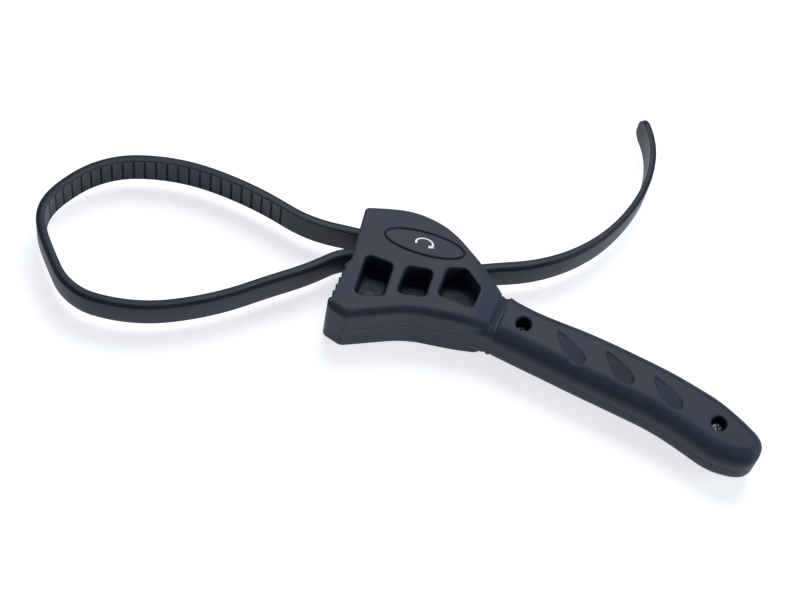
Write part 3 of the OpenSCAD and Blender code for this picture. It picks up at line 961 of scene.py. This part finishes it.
strapSet = {
    "width": 18.0, "thick": 5.0, "outerRound": 2.1, "innerRound": 0.45, "tipRound": 6.0,
    # each arc is its length and its turn in degrees, from the pin to the tip
    "eyeArcs": [(38, 0), (28, -21.5)],
    "farArcs": [(46, 14), (40, 21.5), (36, 37.5)],
    "mouthArcs": [(20, 37.5)],
    "nearArcs": [(24, -9), (22, 2.5), (42, -14.5), (40, -25.5), (28, -50)],
    "slotLength": 54.0,
    "exitArcs": [(10, 16), (16, -3)],
    "tailArcs": [(34, 20), (34, 21), (26, 14), (24, 19), (29, 32)],
    "bowReach": 30.0, "bowSteps": 140,
    "tailThin": 3.7, "thinFrom": 12.0, "thinOver": 60.0,     # the free tail is thinner
    "ribPitch": 6.2, "ribFrom": 68.0, "ribTo": 389.0,
    "ribMargin": (1.0, 1.7),                 # plain edge, and where the full depth is reached
    "step": 1.5, "tipStep": 0.4, "tipFrom": 8.0,
    "bendShare": 0.9,                        # how much of the shorter half a bend may use
}
strapLow, strapHigh = midZ - strapSet["width"] / 2, midZ + strapSet["width"] / 2


def arcEnd(pose, arc, part=1.0):
    length, turn = arc[0] * part, math.radians(arc[1] * part)
    chord = length if abs(turn) < 1e-6 else length * math.sin(turn / 2) / (turn / 2)
    a = pose[2] + turn / 2
    return (pose[0] + chord * math.cos(a), pose[1] + chord * math.sin(a), pose[2] + turn)


def afterArcs(pose, arcs):
    for arc in arcs:
        pose = arcEnd(pose, arc)
    return pose


def arcsLength(arcs):
    return sum(arc[0] for arc in arcs)


def turned(pose):
    return (pose[0], pose[1], pose[2] + math.pi)


def arcPoints(pose, arcs, step=0.5):
    points = [pose]
    for arc in arcs:
        count = math.ceil(arc[0] / step)
        points += [arcEnd(pose, arc, k / count) for k in range(1, count + 1)]
        pose = arcEnd(pose, arc)
    return points


def bowPoints(start, end):
    # one cubic curve round the far left of the loop, with its headings
    p0, p3 = Vector(start[:2]), Vector(end[:2])
    reach, count = strapSet["bowReach"], strapSet["bowSteps"]
    p1 = p0 + reach * Vector((math.cos(start[2]), math.sin(start[2])))
    p2 = p3 - reach * Vector((math.cos(end[2]), math.sin(end[2])))
    points = []
    for i in range(count + 1):
        u = i / count
        v = 1 - u
        p = v ** 3 * p0 + 3 * v * v * u * p1 + 3 * v * u * u * p2 + u ** 3 * p3
        d = v * v * (p1 - p0) + 2 * v * u * (p2 - p1) + u * u * (p3 - p2)
        points.append((p.x, p.y, math.atan2(d.y, d.x)))
    return points


eyeStart = headSet["pinAt"] + (math.pi,)
bowStart = afterArcs(eyeStart, strapSet["eyeArcs"] + strapSet["farArcs"])


def strapRoute():
    # the whole middle line from the pin to the tip, each point with its run from the pin
    slotStart = slotSet["at"] + (math.radians(slotSet["turn"]),)
    mouthEnd = afterArcs(turned(slotStart), strapSet["mouthArcs"])
    bowEnd = turned(afterArcs(mouthEnd, strapSet["nearArcs"]))
    back = [turned(p) for p in reversed(arcPoints(mouthEnd, strapSet["nearArcs"]))]
    mouth = [turned(p) for p in reversed(arcPoints(turned(slotStart), strapSet["mouthArcs"]))]
    chain = (arcPoints(eyeStart, strapSet["eyeArcs"] + strapSet["farArcs"])
             + bowPoints(bowStart, bowEnd) + back + mouth
             + arcPoints(slotStart, [(strapSet["slotLength"], 0)] + strapSet["exitArcs"]
                         + strapSet["tailArcs"]))
    points, run = [], 0.0
    for x, y, heading in chain:
        if points:
            before = points[-1][1]
            gap = math.hypot(x - before[0], y - before[1])
            if gap < 1e-6:
                continue
            run += gap
            # keep the heading from jumping a whole turn
            heading = before[2] + (heading - before[2] + math.pi) % (2 * math.pi) - math.pi
        points.append((run, (x, y, heading)))
    return points


route = strapRoute()
routeEnd = route[-1][0]
tailLength = arcsLength(strapSet["tailArcs"])


def routePose(run):
    low, high = 0, len(route) - 1
    while high - low > 1:
        middle = (low + high) // 2
        if route[middle][0] <= run:
            low = middle
        else:
            high = middle
    (a, p), (b, q) = route[low], route[high]
    t = (run - a) / (b - a)
    return tuple(p[k] + (q[k] - p[k]) * t for k in range(3))


# along one rib, and how deep the strap is cut there: a groove, then a slow slope to the next
ribSteps = [(-0.62, 0.26), (-0.28, 0.85), (0.0, 1.0), (0.28, 0.85), (0.62, 0.0),
            (2.0, 0.07), (3.4, 0.14), (4.8, 0.21)]
ribLead, ribStart = -ribSteps[0][0], ribSteps[0][1]


def ribDepth(run):
    pitch, first = strapSet["ribPitch"], strapSet["ribFrom"]
    if not first - ribLead <= run < strapSet["ribTo"]:
        return 0.0
    at = (run - first + ribLead) % pitch - ribLead
    steps = ribSteps + [(pitch - ribLead, ribStart)]
    for (a, deepA), (b, deepB) in zip(steps, steps[1:]):
        if a <= at <= b:
            return deepA + (deepB - deepA) * (at - a) / (b - a)
    return 0.0


def strapStations(start, end):
    # where the section is drawn, and how deep the ribs are cut there
    stations, clear = {}, 0.05
    pitch, first, last = strapSet["ribPitch"], strapSet["ribFrom"], strapSet["ribTo"]
    k = 0
    while first + k * pitch < last:
        for off, deep in ribSteps:
            at = first + k * pitch + off
            if start + clear < at < end - clear:
                stations[round(at, 3)] = deep
        k += 1
    at = start
    while at < end:
        if not first - 1 < at < last:
            stations.setdefault(round(at, 3), 0.0)
        at += strapSet["step"] if at < routeEnd - strapSet["tipFrom"] else strapSet["tipStep"]
    for edge in (start, end):
        stations[round(edge, 3)] = ribDepth(edge)
    return sorted(stations.items())


def strapSection(deep, run):
    thin = (run - routeEnd + tailLength - strapSet["thinFrom"]) / strapSet["thinOver"]
    thin = min(1.0, max(0.0, thin))
    thick = strapSet["thick"] + (strapSet["tailThin"] - strapSet["thick"]) * thin
    half, outer = thick / 2, strapSet["outerRound"] * thick / strapSet["thick"]
    inner = strapSet["innerRound"]
    low, high = strapLow, strapHigh
    left, r = routeEnd - run, strapSet["tipRound"]
    if left < r:
        cut = r - math.sqrt(max(0.0, r * r - (r - left) ** 2))
        low, high = low + cut, high - cut
    points = []

    def arc(cx, cz, radius, first, steps):
        for i in range(steps + 1):
            a = math.radians(first + 90 * i / steps)
            points.append((cx + radius * math.cos(a), cz + radius * math.sin(a)))

    arc(-half + outer, low + outer, outer, 180, 6)
    arc(half - inner, low + inner, inner, 270, 2)
    plain, full = strapSet["ribMargin"]
    for z, cut in ((low + plain, 0), (low + full, deep), (midZ, deep), (high - full, deep),
                   (high - plain, 0)):
        points.append((half - cut, z))
    arc(half - inner, high - inner, inner, 0, 2)
    arc(-half + outer, high - outer, outer, 90, 6)
    points.append((-half, midZ))
    return points


def storeRun(thing, places):
    # the rubber's streaks follow this attribute along the strap
    stored = thing.data.attributes.new("strapRun", "FLOAT_VECTOR", "POINT")
    stored.data.foreach_set("vector", [c for place in places for c in place])


def strapPiece(name, start, end):
    verts, along = [], []
    for run, deep in strapStations(start, end):
        x, y, heading = routePose(run)
        side = Vector((-math.sin(heading), math.cos(heading)))
        section = strapSection(deep, run)
        for off, z in section:
            verts.append(mmVec(x + side.x * off, y + side.y * off, z))
            along.append((run * mm, off * mm, z * mm))
    count = len(section)
    rings = len(verts) // count
    faces = [(k * count + i, (k + 1) * count + i, (k + 1) * count + (i + 1) % count,
              k * count + (i + 1) % count) for k in range(rings - 1) for i in range(count)]
    faces.append(tuple(range(count)))
    faces.append(tuple((rings - 1) * count + i for i in reversed(range(count))))
    piece = makeObject(name, verts, faces)
    storeRun(piece, along)
    return shade(faceOutward(piece), 33)


def strapSpans():
    # the bodies along the strap: where each one begins and ends along the middle line
    eye, far, near = (strapSet[k] for k in ("eyeArcs", "farArcs", "nearArcs"))
    tail, slotLength = strapSet["tailArcs"], strapSet["slotLength"]
    running = arcsLength(strapSet["mouthArcs"]) + slotLength + arcsLength(strapSet["exitArcs"])
    bowFrom = arcsLength(eye + far)
    bowLength = routeEnd - bowFrom - arcsLength(near) - running - tailLength
    curve, middle = bowPoints(bowStart, routePose(bowFrom + bowLength)), strapSet["bowSteps"] // 2
    farHalf = sum(math.hypot(a[0] - b[0], a[1] - b[1])
                  for a, b in zip(curve[:middle], curve[1:middle + 1]))
    lengths = [("strap_eye_length", arcsLength(eye)),
               ("strap_far_2", far[0][0]), ("strap_far_3", far[1][0]), ("strap_far_4", far[2][0]),
               ("strap_far_bow", farHalf), ("strap_near_bow", bowLength - farHalf),
               ("strap_near_4", near[4][0]), ("strap_near_3", near[3][0]),
               ("strap_near_2", near[2][0]), ("strap_near_1", arcsLength(near[:2])),
               ("strap_running_length", running), ("strap_tail_1", tail[0][0]),
               ("strap_tail_2", arcsLength(tail[1:3])), ("strap_tail_tip", arcsLength(tail[3:]))]
    spans, run = [], 0.0
    for body, length in lengths:
        spans.append((body, run, run + length))
        run += length
    return spans


eyeSet = {"bore": 2.56, "outside": 5.2, "boreBevel": 0.3, "rimBevel": 0.4, "strapFrom": 4.6}


def makeStrap():
    # each piece runs from the middle of one body to the middle of the next;
    # the loop is left open in its bow, where the two bodies only meet
    spans = strapSpans()
    openAt = [s[0] for s in spans].index("strap_far_bow")
    number = 1

    def name():
        nonlocal number
        number += 1
        return f"strapPart{number:02d}"

    body, start, end = spans[0]
    first = strapPiece("strapPart01", eyeSet["strapFrom"], (start + end) / 2)
    finishPiece(first, strapRubber, body, [body])
    for i in range(len(spans) - 1):
        (bodyA, startA, endA), (bodyB, startB, endB) = spans[i], spans[i + 1]
        middleA, middleB = (startA + endA) / 2, (startB + endB) / 2
        if i == openAt:
            left = strapPiece(name(), middleA, endA)
            finishPiece(left, strapRubber, bodyA, [bodyA])
            right = strapPiece(name(), startB, middleB)
            finishPiece(right, strapRubber, bodyB, [bodyB])
            continue
        piece = strapPiece(name(), middleA, middleB)
        finishPiece(piece, strapRubber, None, [bodyB])
        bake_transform(piece)
    body, start, end = spans[-1]
    tip = strapPiece(name(), (start + end) / 2, end)
    finishPiece(tip, strapRubber, body, [body])


def makeEye():
    bore, outside, bevel, rim = (eyeSet[k] for k in ("bore", "outside", "boreBevel", "rimBevel"))
    eye = lathe("strapEye", [
        (bore, strapLow + bevel), (bore + bevel, strapLow), (outside - rim, strapLow),
        (outside, strapLow + rim), (outside, strapHigh - rim), (outside - rim, strapHigh),
        (bore + bevel, strapHigh), (bore, strapHigh - bevel)], headSet["pinAt"])
    storeRun(eye, [v.co for v in eye.data.vertices])
    shade(eye, 30)
    return finishPiece(eye, strapRubber, "strap_eye_length")


makeStrap()
makeEye()
print("strap made, middle line", round(routeEnd, 1), "mm")


lightSet = {
    # high behind the tool, so that the flat tops catch it and the near walls don't
    "backBox": {"at": (0.05, 0.62, 1.15), "to": (0.02, 0.0, 0.0), "size": (0.85, 0.6),
                "power": 14.0, "colour": "#fdfeff"},
    "rightBox": {"at": (1.05, -0.10, 0.42), "to": (0.10, 0.06, 0.0), "size": (0.6, 0.6),
                 "power": 5.0, "colour": "#eef3ff"},
    "leftFill": {"at": (-1.1, -0.1, 0.85), "to": (-0.05, 0.0, 0.0), "size": (0.8, 0.8),
                 "power": 1.5, "colour": "#f2f6ff"},
}
worldTone, worldStrength = "#cfdbf2", 0.12


def makeLights():
    for name, look in lightSet.items():
        data = bpy.data.lights.new(name, "AREA")
        data.shape = "RECTANGLE"
        data.size, data.size_y = look["size"]
        data.energy = look["power"]
        data.color = hexColour(look["colour"])[:3]
        lamp = bpy.data.objects.new(name, data)
        lamp.location = look["at"]
        aim = Vector(look["to"]) - Vector(look["at"])
        lamp.rotation_euler = aim.to_track_quat("-Z", "Y").to_euler()
        scene.collection.objects.link(lamp)
    world = bpy.data.worlds.new("studio")
    scene.world = world
    world.use_nodes = True
    back = world.node_tree.nodes["Background"]
    back.inputs["Color"].default_value = hexColour(worldTone)
    back.inputs["Strength"].default_value = worldStrength


def makeFloor():
    side = 3.0
    floor = makeObject("paperFloor", [(-side, -side, 0), (side, -side, 0), (side, side, 0),
                                      (-side, side, 0)], [(0, 1, 2, 3)])
    floor.data.materials.append(paperFloor("whitePaper", paperLook))


makeLights()
makeFloor()
scene.view_settings.view_transform = "Standard"
print("stage and light set")
